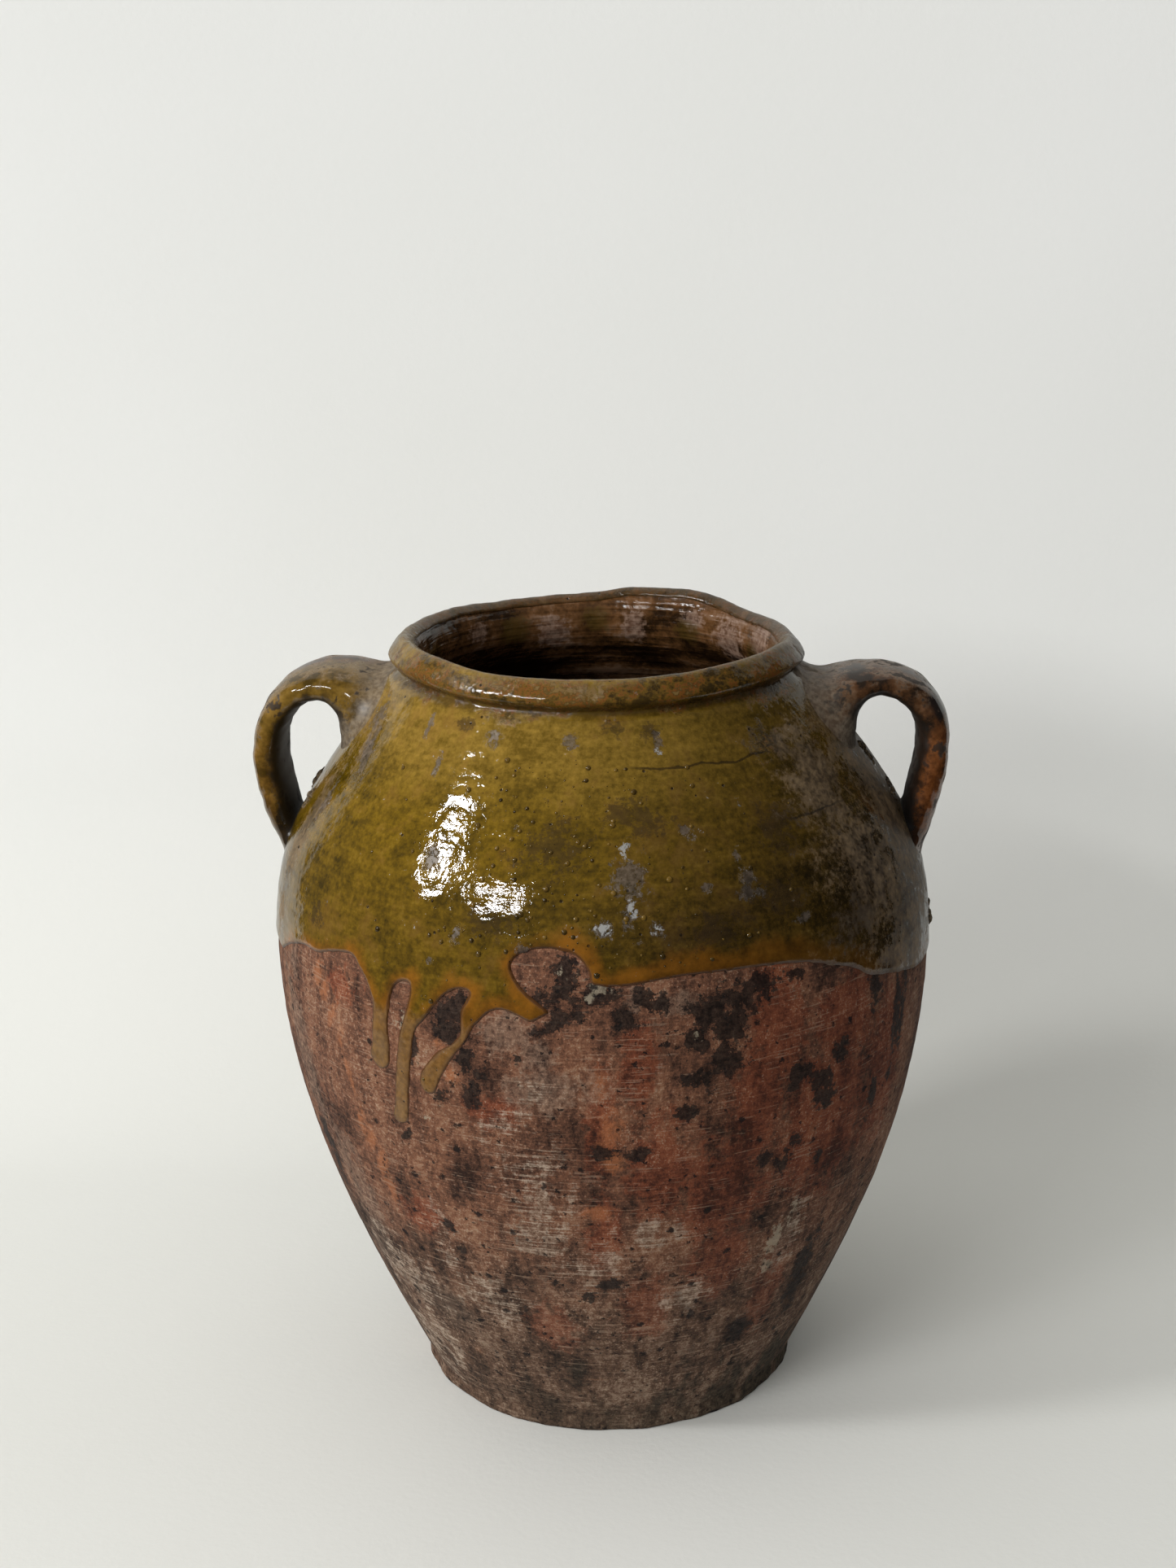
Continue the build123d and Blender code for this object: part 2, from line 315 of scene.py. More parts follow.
class Finish:
    """A material under construction: places on the piece, marks made on it, and colours."""

    def __init__(self, name):
        self.material = bpy.data.materials.new(name)
        self.material.use_nodes = True
        self.tree = self.material.node_tree
        self.shader = self.tree.nodes["Principled BSDF"]
        self.object_place = self.tree.nodes.new("ShaderNodeTexCoord").outputs["Object"]
        self.right, self.back, self.up = parts_of(self.place())
        self.shade = None

    def place(self, x=1.0, y=1.0, z=1.0):
        """Where a point is on the piece, with each direction stretched."""
        inputs = {"Vector": Amount(self.object_place), "Scale": (x, y, z)}
        return node_in(self.tree, "ShaderNodeMapping", inputs)

    def noise(self, scale, detail=3.0, roughness=0.55, stretch=(1, 1, 1)):
        return noise(self.place(*stretch), scale, detail, roughness)

    def mark(self, name):
        return node_in(self.tree, "ShaderNodeAttribute", {}, "Fac", attribute_name=name)

    def mix(self, share, first, second):
        inputs = {0: share, 6: first, 7: second}
        return node_in(self.tree, "ShaderNodeMix", inputs, 2, data_type="RGBA")

    def cover(self, share, over, *stops):
        """Lays a colour, or shades along an amount, over what was there, by a share of 0 to 1."""
        if stops:
            over = self.shades(over, *stops)
        elif isinstance(over, tuple):
            over = colour(*over)
        self.shade = self.mix(share, self.shade, over)

    def shades(self, amount, *stops):
        """Colours along an amount: each stop is where it lies and the colour there."""
        ramp_out = node_in(self.tree, "ShaderNodeValToRGB", {0: amount})
        ramp = ramp_out.socket.node.color_ramp.elements
        while len(ramp) < len(stops):
            ramp.new(0.5)
        for stop, (at, shade) in zip(ramp, stops):
            stop.position, stop.color = at, colour(*shade)
        return ramp_out

    def dots(self, place, scale, size, share):
        """Round dots, as a mask: their spacing is one over scale, and only a share is kept."""
        inputs = {"Vector": place, "Scale": scale}
        distance = node_in(self.tree, "ShaderNodeTexVoronoi", inputs, "Distance")
        chance = parts_of(Amount(distance.socket.node.outputs["Color"]))[0]
        return step_up(distance, size, size * 0.6) * step_up(chance, share + 0.02, share)

    def done(self, roughness, relief, depth):
        """Links colour, roughness and relief; depth is the relief's height in metres."""
        give(self.shader.inputs["Base Color"], self.shade)
        give(self.shader.inputs["Roughness"], roughness)
        bump = node_in(self.tree, "ShaderNodeBump", {"Distance": depth, "Height": relief})
        give(self.shader.inputs["Normal"], bump)
        return self.material


def places_of(mesh):
    places = np.empty(len(mesh.vertices) * 3)
    mesh.vertices.foreach_get("co", places)
    return places.reshape(-1, 3)


def paint(piece, name, values):
    """Gives every point of a piece a number, which its finish or a tree reads by that name."""
    numbers = piece.data.attributes.new(name, "FLOAT", "POINT")
    numbers.data.foreach_set("value", values.astype(np.float32))


def marked(piece, name, spots):
    """Paints a mark on a piece: above 0 inside the spots, 1 at their middles. A spot gives its
    degrees round, its height, half its width and height in millimetres, and maybe a lean."""
    places = places_of(piece.data)
    around = np.degrees(np.arctan2(places[:, 0], -places[:, 1]))
    up = places[:, 2] / mm
    best = np.full(len(up), -1.0)
    for at, height, half_width, half_height, *lean in spots:
        right = ((around - at + 180) % 360 - 180) * radians(belly_radius)
        above = up - height
        lean = radians(sum(lean))
        c, s = cos(lean), sin(lean)
        far = np.hypot((right * c + above * s) / half_width, (above * c - right * s) / half_height)
        best = np.maximum(best, 1 - far)
    paint(piece, name, best)


def standing_outwards(piece):
    """Turns a closed mesh's faces outwards, if the space that they hold comes out negative."""
    mesh = piece.data
    mesh.calc_loop_triangles()
    corners = np.empty(len(mesh.loop_triangles) * 3, int)
    mesh.loop_triangles.foreach_get("vertices", corners)
    a, b, c = places_of(mesh)[corners.reshape(-1, 3)].transpose(1, 0, 2)
    if np.einsum("ij,ij->i", a, np.cross(b, c)).sum() < 0:
        mesh.flip_normals()
    return piece


def thrown(name, line, finish):
    """A piece that the wheel turns from its section, then leaves to the potter's hand."""
    places = np.stack([line[:, 0], np.zeros(len(line)), line[:, 1]], 1)
    piece = new_piece(name, places, edges=[(i, i + 1) for i in range(len(line) - 1)])
    values = {"Rows": len(line), "Columns": columns_round + 1, "Finish": finish}
    passed_through(piece, wheel, values)
    passed_through(piece, hand, {**hand_of_potter, "Finish": finish})
    return standing_outwards(piece)


clay = Finish("bare_clay")
fine = clay.noise(430, 5, 0.7)
grain = clay.noise(1300, 3, 0.65)
cloud = clay.noise(30, 5, 0.62)
patchy = clay.noise(95, 5, 0.68)
streaks = clay.noise(120, 5, 0.65, stretch=(1, 1, 0.18))
scratches = clay.noise(1300, 3, 0.6, stretch=(0.05, 0.05, 1))
torn = clay.noise(190, 6, 0.8, stretch=(1, 1, 0.7))
crisp = fine.swing(1.6) + patchy.swing(2.6) + torn.swing(2.6)
low_height = clay.up + cloud.swing(0.09) + streaks.swing(0.10)
drab = step_up(low_height, 0.135, 0.050)
tone = cloud * 0.26 + streaks * 0.22 + fine * 0.28 + grain * 0.14 + scratches * 0.10
tone = tone + streaks.swing(drab) * 0.10
clay.shade = clay.shades(
    tone, (0.42, (48, 30, 22)), (0.48, (90, 60, 45)), (0.525, (119, 79, 58)),
    (0.60, (150, 114, 88)),
)
rust = step_up(clay.mark("rust") + crisp * 0.8 + clay.right * 3.0, -0.1, 0.5)
clay.cover(rust * 0.7, tone, (0.44, (76, 36, 22)), (0.52, (122, 60, 36)), (0.60, (146, 86, 56)))
orange = step_up(clay.mark("orange") + crisp * 0.7, 0.0, 0.8)
clay.cover(orange * 0.58, (166, 104, 66))
dust = step_up(clay.mark("dust") + crisp * 0.7, 0.0, 0.45)
clay.cover(dust * 0.56, fine, (0.36, (76, 58, 48)), (0.62, (138, 114, 96)))
clay.cover(
    drab * (0.68 - rust * 0.28), tone, (0.43, (40, 31, 25)), (0.51, (82, 66, 53)),
    (0.60, (134, 120, 104)),
)
bloom = step_up(
    clay.mark("bloom") + scratches.swing(3.0) + torn.swing(4.0) + streaks.swing(5.0),
    0.25, 1.00,
)
clay.cover(
    bloom * 0.60, fine * 0.5 + scratches * 0.3 + grain * 0.2, (0.43, (88, 66, 52)),
    (0.50, (134, 116, 99)), (0.57, (188, 174, 156)),
)
flecks = step_up(grain * 0.6 + fine * 0.4 + cloud.swing(0.3), 0.575, 0.625)
clay.cover(flecks * 0.5, (160, 138, 118))
scored = step_up(scratches + patchy.swing(0.6), 0.61, 0.68)
clay.cover(scored * 0.42, (152, 128, 108))
# Grime at the foot, with painted shade: the darkening grows towards the right side, away from the
# light.
grime = step_up(low_height, 0.034, 0.006)
clay.cover(grime * (clay.right * 6.0 + 0.45), fine, (0.36, (34, 29, 23)), (0.62, (78, 70, 57)))
soot = step_up(clay.mark("soot") + crisp * 1.2 + scratches.swing(1.0), 0.12, 0.32)
clay.cover(soot * 0.9, fine, (0.42, (16, 10, 9)), (0.64, (50, 38, 31)))
lime = step_up(clay.mark("lime") + crisp * 1.5, 0.2, 0.6)
clay.cover(lime * 0.62, (164, 152, 130))
smoked = step_up(patchy + streaks.swing(0.8) + fine.swing(0.5), 0.62, 0.76)
clay.cover(smoked * 0.5, (40, 29, 24))
ragged = vector("ADD", clay.tree, clay.place(), joined(
    clay.tree, fine.swing(0.006), patchy.swing(0.008), grain.swing(0.004),
))
crowded = 0.13 + step_up(patchy, 0.50, 0.60) * 0.40 + drab * 0.10
large_specks = clay.dots(ragged, 150.0, 0.27, crowded * 0.6)
specks = large_specks.do("MAXIMUM", clay.dots(ragged, 330.0, 0.26, crowded))
clay.cover(specks * 0.9, (26, 20, 19))
clay.shader.inputs["Specular IOR Level"].default_value = 0.25
clay_relief = fine * 0.6 + grain * 0.25 + patchy * 0.8 + scratches * 0.2 + soot * 0.12
clay_relief = clay_relief - specks * 0.35
bare_clay = clay.done(0.85 - soot * 0.15, clay_relief, 0.0009)

body = thrown("thrown_body", section, bare_clay)
marked(body, "rust", [
    (33, 196, 12, 26), (30, 168, 12, 28), (47.6, 189, 16, 16), (-43, 203, 14, 12),
    (44, 150, 24, 30, 10), (24, 128, 20, 24), (4, 160, 8, 26), (13, 142, 15, 26), (4, 112, 9, 22),
    (-14, 166, 16, 10), (60, 160, 12, 30), (-32, 110, 18, 16), (10, 186, 8, 18), (-8, 62, 16, 16),
    (12, 72, 14, 20), (26, 92, 14, 20), (40, 70, 10, 24), (120, 160, 30, 40), (200, 150, 34, 50),
    (260, 170, 26, 30),
])
marked(body, "orange", [
    (-50.3, 202, 4, 8, -20), (-48.5, 196.5, 3.8, 8, -24), (-46, 189, 3.2, 9, -24),
    (-44, 181, 2.8, 9, -14), (-42.8, 172, 2.6, 10, -8), (-42.2, 162, 2.4, 10, -4),
    (-41.6, 148, 3.2, 9, -10), (-40.2, 139, 5, 9, -20), (-38.8, 129, 4.2, 10, -16),
    (-38, 117, 3, 10, -6), (-22.5, 190, 3, 5, 40), (-20.5, 178, 3.4, 6, 20), (3.5, 178, 5, 8),
    (5.5, 160, 7, 15, -8), (6, 146, 6, 8), (3, 122, 8, 6), (-30.5, 37, 5, 5), (1, 31, 12, 1.6),
    (150, 170, 5, 40, 4), (230, 150, 4, 36),
])
marked(body, "lime", [
    (-2.8, 221.5, 2.8, 2.8), (4.1, 216.6, 4, 3), (2.2, 213, 2.5, 2), (19.8, 196.4, 1.6, 3),
    (38, 96, 4, 13, -10), (37, 84, 5, 4), (41, 108, 2.5, 5), (-29, 196.5, 4, 4), (-26, 158, 2, 2),
    (180, 60, 20, 8),
])
marked(body, "dust", [
    (-10.5, 198, 13, 11, 10), (-6.5, 190, 12, 8), (16.5, 210, 10, 6), (-4, 176, 24, 10),
    (-60, 160, 12, 44, 10), (-50, 110, 14, 34, 10), (-52, 80, 16, 20), (40.5, 95, 8, 20),
    (-34, 60, 20, 16), (9.5, 211, 4, 6), (170, 190, 20, 14), (-60, 200, 5, 10),
])
marked(body, "bloom", [
    (-9.3, 143, 16, 14), (-7, 128, 18, 9), (-12, 160, 14, 8), (-8, 110, 14, 12), (12, 112, 16, 8),
    (2, 96, 16, 12), (-28, 98, 8, 16), (-46, 72, 22, 26, 30), (-20, 72, 16, 14), (42, 100, 8, 18),
    (20, 76, 12, 10), (-6, 176, 7, 6), (-42, 40, 14, 14), (-44, 20, 16, 12), (-52, 28, 18, 24, 20),
    (160, 110, 20, 30), (250, 120, 16, 26), (200, 60, 40, 20),
])
marked(body, "soot", [
    (-20, 203, 7, 8, -35), (-18.5, 198, 6, 5), (-21.5, 195, 7, 3, -25), (-18, 209, 5, 5),
    (-27.5, 186, 2.6, 9, -8), (-17.5, 184, 4, 8, 10), (-17, 172, 5, 7, -10), (-22, 170, 6, 3, 10),
    (-15, 180, 4, 4), (-2, 222, 7, 7), (-3, 213, 9, 5), (3.5, 214, 8, 6), (7.5, 205, 7, 5),
    (-1, 207, 8, 4), (-5, 200, 7, 3, 20), (11, 212, 6, 4), (-9, 189, 5, 3), (-1, 190, 2, 2),
    (21, 204, 9, 9), (27, 208, 10, 7), (25, 197, 9, 9), (19, 194, 6, 8), (24, 185, 10, 7),
    (20, 178, 8, 5), (13, 210, 7, 4), (30, 213, 9, 4), (37, 213.5, 5, 3), (18, 166, 5, 4),
    (42, 166, 8, 8), (38, 173, 6, 4), (46, 176, 5, 7, 20), (36, 168, 4, 3), (44, 158, 5, 4),
    (55, 195, 5, 10), (62, 178, 3, 26), (66, 196, 3, 16), (57, 150, 3, 14), (9, 150, 7, 4),
    (4, 151, 6, 3), (4.5, 87, 7, 4), (-31.2, 147, 2.6, 2), (-30, 150, 1.6, 1.4), (-26, 138, 2, 2),
    (-12.8, 159, 2, 1.6), (-24, 96.7, 3.4, 3), (-6.4, 134, 1.8, 1.8), (-26, 108, 3, 3),
    (-6, 86, 2, 2), (35.7, 134.6, 3.5, 5), (44, 132, 3, 5), (64.5, 175.7, 3, 18), (32, 138, 4, 6),
    (38, 144, 4, 5), (36, 50, 8, 7), (0.8, 79, 3.6, 3), (-13, 70, 2, 2), (22, 66, 3, 3),
    (50, 70, 8, 26), (140, 190, 14, 12), (190, 120, 10, 16), (240, 200, 12, 8), (300, 120, 8, 20),
])
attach(body, "root")
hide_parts("jar_body")


# The glaze outside: an olive lead glaze that was poured over the rim and ran to a ragged edge,
# amber where it is thin, with three long runs, blisters and a patch that it never covered.
# It is a closed skin on the clay, thinner in the runs and rounded off along its edge.
glaze_thickness = 0.65
runs_thinner = 0.3
runs_at, runs_reach, runs_top, runs_fade = -26, 12, 204, 9  # degrees round, and heights
edge_height, edge_bead, edge_round = 0.1, 0.1, 2.2  # how it ends, and how far in it rounds off
bead_in, bead_width = 2, 1.2
blisters_at, blisters_reach, blisters_top = -3, 40, 290
sunk_in_clay = 0.5
deep_in, all_glaze_above = 40.0, 240.0  # no edge comes above this height
fine_rows_from, fine_rows_to = 149.5, 224.0
edge_line = [
    (-67.9, 199.3), (-62, 206), (-57, 210), (-53.3, 211.1), (-50.4, 210.8), (-46.7, 214),
    (-42.2, 216.5), (-39.9, 216.5), (-38.9, 213.6), (-37.1, 209.9), (-35.9, 205), (-35.1, 200.6),
    (-35.5, 192.9), (-35.7, 184.5), (-36.6, 179.8), (-35.5, 175.3), (-34, 174), (-32.5, 176.4),
    (-32.1, 183.3), (-32.3, 194.8), (-31.4, 206.6), (-30.6, 210.5), (-29.2, 212.3),
    (-27.8, 212.2), (-27.5, 209.3), (-28.1, 203.5), (-29.1, 196.5), (-30.1, 189.4),
    (-31.5, 170.2), (-32, 161.2), (-33, 156.2), (-32.6, 153.1), (-31.1, 152.4), (-29.6, 154.8),
    (-29, 166.5), (-27.8, 184), (-26.7, 195.2), (-25.1, 198.8), (-23.5, 203.9), (-22, 208.4),
    (-20.2, 212), (-18.4, 213.4), (-16.7, 212.6), (-17.3, 209.2), (-18.3, 205.8), (-18.5, 200.2),
    (-18.4, 195.8), (-20, 191.2), (-22.3, 188.2), (-24.3, 183.2), (-25.9, 178.3), (-26.6, 173.7),
    (-26, 169.8), (-24.6, 168.6), (-23.4, 171.1), (-22.7, 176), (-20.2, 185.8), (-17.4, 193.7),
    (-16.7, 198.4), (-14.9, 202.9), (-13.4, 206.3), (-11.6, 207.5), (-9.6, 206.3), (-7.6, 203.9),
    (-6.6, 203.3), (-5.1, 205.6), (-3.6, 207.5), (-4.7, 209.1), (-7.6, 214.4), (-9, 217.8),
    (-10.2, 222.7), (-9.8, 226.3), (-7.8, 229.1), (-4.9, 230.6), (-2.7, 230.4), (0.1, 229),
    (1.7, 225.5), (2.6, 221.5), (2.5, 218.3), (4.2, 217.3), (8.3, 217.1), (12.2, 218.4),
    (17.2, 219.7), (25.9, 219.2), (31.4, 218.6), (39.3, 216.4), (44.6, 211.9), (49.5, 208.3),
    (52.7, 202.4), (58.2, 199.4), (65, 195), (73.6, 190.4), (90, 188), (104, 195), (118, 209),
    (131, 203), (150, 214), (164, 206), (180, 211), (197, 221), (212, 209), (226, 216),
    (240, 204), (258, 206), (272, 196), (283, 200), (292.1, 199.3),
]


def softened(line, rounds):
    """Cuts the corners off a line of points."""
    for _ in range(rounds):
        near = line[:-1] * 0.75 + line[1:] * 0.25
        far = line[:-1] * 0.25 + line[1:] * 0.75
        line = np.concatenate([line[:1], np.stack([near, far], 1).reshape(-1, 2), line[-1:]])
    return line


edge_line = softened(np.array(edge_line, float), 2)
edge_line[:, 0] *= radians(belly_radius)


def inside_glaze(right, up):
    """How far a place lies inside the glaze's edge in millimetres; less than 0 is bare."""
    far = np.full(right.shape, 1e9)
    above = np.zeros(right.shape, bool)
    for shift in (-1, 0, 1):
        x = edge_line[:, 0] + shift * 2 * pi * belly_radius
        z = edge_line[:, 1]
        for x0, z0, x1, z1 in zip(x[:-1], z[:-1], x[1:], z[1:]):
            dx, dz = x1 - x0, z1 - z0
            share = np.clip(((right - x0) * dx + (up - z0) * dz) / (dx * dx + dz * dz), 0, 1)
            far = np.minimum(far, np.hypot(right - x0 - share * dx, up - z0 - share * dz))
            if x0 != x1:
                crossed = (np.minimum(x0, x1) <= right) & (right < np.maximum(x0, x1))
                above ^= crossed & (up > z0 + (right - x0) / dx * dz)
    return np.where(above, far, -far)


# Columns stand closer together where the runs are, and rows where the edge is.
spans = ((-180, -92, 60), (-92, -44, 66), (-44, -12, 84), (-12, 92, 144), (92, 180, 60))
around = np.concatenate([np.linspace(a, b, n, endpoint=False) for a, b, n in spans])
fine_wall = line_through(wall_stations, 1.0)
low_rows = fine_wall[(fine_wall[:, 1] > fine_rows_from) & (fine_wall[:, 1] < fine_rows_to)]
high_rows = fine_wall[fine_wall[:, 1] >= fine_rows_to][::2]
rows = np.concatenate([low_rows, high_rows[:-1], line_through(lip_stations, 1.1)])
row_out = outward(rows)
ruffle = np.random.default_rng(7)
waves = [(ruffle.uniform(0.25, 1.3), ruffle.uniform(0, 2 * pi)) for _ in range(9)]
right, up = np.meshgrid(around * radians(belly_radius), rows[:, 1])
inside = inside_glaze(right, up)
inside += sum(0.07 * np.sin(k * (right + 0.6 * up) + p) for k, p in waves)
high = rows[:, 1] > all_glaze_above
inside[high] = np.maximum(inside[high], deep_in)

column_count, row_count = len(around), len(rows)
corners, faces, cut_at = [], [], {}


def corner_number(key, row, column):
    if key not in cut_at:
        cut_at[key] = len(corners)
        corners.append((row, column))
    return cut_at[key]


for r in range(row_count - 1):
    for c in range(column_count):
        square = [(r, c), (r, c + 1), (r + 1, c + 1), (r + 1, c)]
        depths = [inside[i, j % column_count] for i, j in square]
        if max(depths) <= 0:
            continue
        outline = []
        for k, ((i, j), depth) in enumerate(zip(square, depths)):
            (i2, j2), depth2 = square[(k + 1) % 4], depths[(k + 1) % 4]
            here_key, next_key = (i, j % column_count), (i2, j2 % column_count)
            if depth > 0:
                outline.append(corner_number(here_key, i, j))
            if (depth > 0) != (depth2 > 0):
                t = depth / (depth - depth2)
                key = tuple(sorted((here_key, next_key)))
                outline.append(corner_number(key, i + (i2 - i) * t, j + (j2 - j) * t))
        if len(outline) > 2:
            faces.append(outline)

corners = np.array(corners)
one_way = dict.fromkeys(
    edge for outline in faces for edge in zip(outline, outline[1:] + outline[:1])
)
rim = [(a, b) for a, b in one_way if (b, a) not in one_way]
turn = np.interp(corners[:, 1], np.arange(column_count + 1), np.append(around, 180.0))
section_r, section_z, out_r, out_z = (
    np.interp(corners[:, 0], np.arange(row_count), values) for values in (*rows.T, *row_out.T)
)
edge_depth = np.maximum(inside_glaze(turn * radians(belly_radius), section_z), 0)
edge_depth[section_z > all_glaze_above] = deep_in
in_run = np.clip((runs_top - section_z) / runs_fade, 0, 1) * (np.abs(turn - runs_at) < runs_reach)
dome = np.sqrt(np.clip(1 - (1 - np.clip(edge_depth / edge_round, 0, 1)) ** 2, 0, 1))
bead = edge_bead * np.exp(-((edge_depth - bead_in) / bead_width) ** 2)
lift = edge_height + (glaze_thickness - runs_thinner * in_run) * dome + bead


def on_section(lifted):
    radius = section_r + out_r * lifted
    a = np.radians(turn)
    return np.stack([radius * np.sin(a), -radius * np.cos(a), section_z + out_z * lifted], 1)


count = len(corners)
skin_faces = [list(outline) for outline in faces]
skin_faces += [[v + count for v in reversed(outline)] for outline in faces]
skin_faces += [[b, a, a + count, b + count] for a, b in rim]
skin_places = np.concatenate([on_section(lift), on_section(np.full(count, -sunk_in_clay))])

channel_height = 0.3062
glaze = Finish("olive_glaze")
edge = glaze.mark("edge")
warp = glaze.noise(60, 3)
mottle = glaze.noise(480, 5, 0.65)
cloud = glaze.noise(24, 4, 0.55)
patchy = glaze.noise(105, 5, 0.65)
brushed = glaze.noise(420, 3, 0.5, stretch=(0.10, 0.10, 1))
wheel_lines = glaze.noise(190, 2, 0.5, stretch=(0.04, 0.04, 1))
depth_of_colour = mottle * 0.30 + patchy * 0.30 + cloud * 0.25 + brushed * 0.15
# Painted shade: the glaze has a lit and a shaded copy of its colours. The shaded one is painted in
# towards the right, away from the window, and low on the belly, most of all on the right.
sunny = glaze.shades(
    depth_of_colour, (0.40, (62, 48, 6)), (0.47, (90, 69, 10)), (0.53, (110, 85, 15)),
    (0.62, (134, 106, 32)),
)
shaded_glaze = glaze.shades(
    depth_of_colour, (0.40, (30, 22, 7)), (0.47, (50, 37, 11)), (0.53, (70, 52, 17)),
    (0.62, (94, 74, 30)),
)
to_right = glaze.right + cloud.swing(0.07) + patchy.swing(0.04)
low = step_up(glaze.up + cloud.swing(0.05), 0.262, 0.232)
painted_shade = step_up(to_right, -0.040, 0.085) * 0.8 + low * (to_right * 3.0 + 0.9) * 0.42
glaze.shade = glaze.mix(painted_shade, sunny, shaded_glaze)
# Painted light: towards the neck the glaze is painted lighter, as if lit from above, only where the
# painted shade is not.
upper = step_up(glaze.up + cloud.swing(0.03), 0.264, 0.294)
glaze.cover(
    upper * (1.0 - painted_shade) * 0.75, depth_of_colour, (0.42, (102, 79, 21)), (0.60, (160, 128, 56)),
)
# The brown patches and, below, the amber edge also come in a lit and a shaded copy, mixed by the
# painted shade.
browned = step_up(cloud * 0.55 + patchy * 0.45, 0.50, 0.60)
glaze.cover(browned * 0.44, glaze.mix(painted_shade, colour(104, 72, 30), colour(52, 36, 20)))
amber_width = 4.2 + warp.swing(14.0) + patchy.swing(6.0) + to_right * 28.0
amber = step_up(edge - amber_width, 4.5, -2.5) * (1.0 - step_up(to_right, 0.040, 0.100) * 0.6)
glaze.cover(amber * 0.88, glaze.mix(
    painted_shade, glaze.shades(patchy, (0.36, (96, 60, 12)), (0.62, (140, 88, 20))),
    glaze.shades(patchy, (0.36, (84, 52, 12)), (0.62, (118, 74, 18))),
))
rim_line = 1.0 + patchy.swing(2.0)
glaze.cover(step_up(edge - rim_line, 0.15, -0.5) * 0.75, (66, 36, 14))
in_runs = step_up(glaze.mark("run"), 0.1, 0.8) * step_up(edge, 0.1, 1.0)
glaze.cover(in_runs * 0.85, mottle, (0.40, (98, 66, 22)), (0.60, (124, 88, 38)))
tattered = glaze.noise(260, 6, 0.8)
break_up = mottle.swing(1.4) + patchy.swing(2.0) + tattered.swing(2.8)
# A grey film on the shoulder, with painted reflection: at the right and left edges the pale grey
# also stands for the glaze mirroring the wall at a glancing angle.
haze_and_sheen = step_up(glaze.mark("haze_and_sheen") + break_up * 0.9 + cloud.swing(1.6), -0.25, 0.75)
glaze.cover(haze_and_sheen * 0.68, mottle * 0.5 + patchy * 0.5, (0.42, (64, 48, 31)), (0.60, (134, 111, 82)))
worn = step_up(glaze.mark("worn") + break_up * 1.3, 0.15, 0.65)
glaze.cover(worn * 0.66, mottle, (0.40, (52, 44, 36)), (0.62, (98, 87, 79)))
scuffed = step_up(glaze.mark("scuff") + break_up * 2.0, 0.35, 0.60)
glaze.cover(scuffed * 0.8, (152, 153, 151))
blotched = step_up(glaze.mark("blotch") + break_up * 1.5, 0.15, 0.75)
glaze.cover(blotched * 0.6, (38, 29, 20))
on_lip = step_up(glaze.up + patchy.swing(0.016), 0.303, 0.308)
lip_cloud = glaze.noise(55, 5, 0.72, stretch=(1, 1, 1.6))
brown = step_up(glaze.mark("brown") + break_up * 1.2 + on_lip * 0.9, 0.0, 0.9)
glaze.cover(
    brown * 0.8, lip_cloud * 0.7 + mottle * 0.3, (0.43, (30, 21, 12)), (0.465, (70, 50, 20)),
    (0.49, (90, 68, 23)), (0.52, (114, 63, 30)), (0.545, (60, 44, 18)), (0.59, (106, 84, 52)),
)
# Painted shade on the back half of the lip, along the inner rim over the mouth.
back_lip_shade = on_lip * step_up(glaze.back, -0.03, 0.03)
glaze.cover(back_lip_shade * 0.7, patchy, (0.40, (44, 32, 20)), (0.62, (92, 68, 48)))
# Painted shade in the channel under the lip, where the rolled bead overhangs it.
from_channel = (glaze.up - channel_height).do("ABSOLUTE") + patchy.swing(0.006)
painted_channel_shade = step_up(from_channel, 0.0032, 0.0012)
glaze.cover(painted_channel_shade * 0.55, (44, 30, 16))
pinholes = glaze.dots(glaze.place(), 210.0, 0.15, 0.10 + step_up(patchy, 0.5, 0.6) * 0.25)
glaze.cover(pinholes * 0.85, (24, 16, 8))
glaze_relief = glaze.noise(62, 2) * 0.62 + glaze.noise(150, 4, 0.6) * 0.28
glaze_relief = glaze_relief + wheel_lines * 0.13 + brushed * 0.05
glaze_relief = glaze_relief + brown * patchy * 0.22 - pinholes * 0.15 - worn * 0.12
# Each crack gives where it starts and ends to the right, its height there and its slope.
cracks = ((0.015, 0.075, 0.2873, 0.020), (0.072, 0.102, 0.2645, 0.030))
for start, end, height, slope in cracks:
    off_line = glaze.up + glaze.right * slope + warp.swing(0.006) - (height + start * slope)
    cracked = step_up(off_line.do("ABSOLUTE"), 0.0005, 0.0002)
    for tip, fade in ((start, 0.01), (end, -0.01)):
        cracked = cracked * step_up(glaze.right, tip, tip + fade)
    glaze.cover(cracked * 0.7, (30, 22, 12))
gloss = 0.03 + worn * 0.36 + haze_and_sheen * 0.50 + scuffed * 0.3 + patchy * 0.04 + brown * 0.03
gloss = gloss + in_runs * 0.25 + step_up(edge, 2.2, 0.6) * 0.28
glaze.shader.inputs["IOR"].default_value = 1.62
olive_glaze = glaze.done(gloss, glaze_relief, 0.0011)

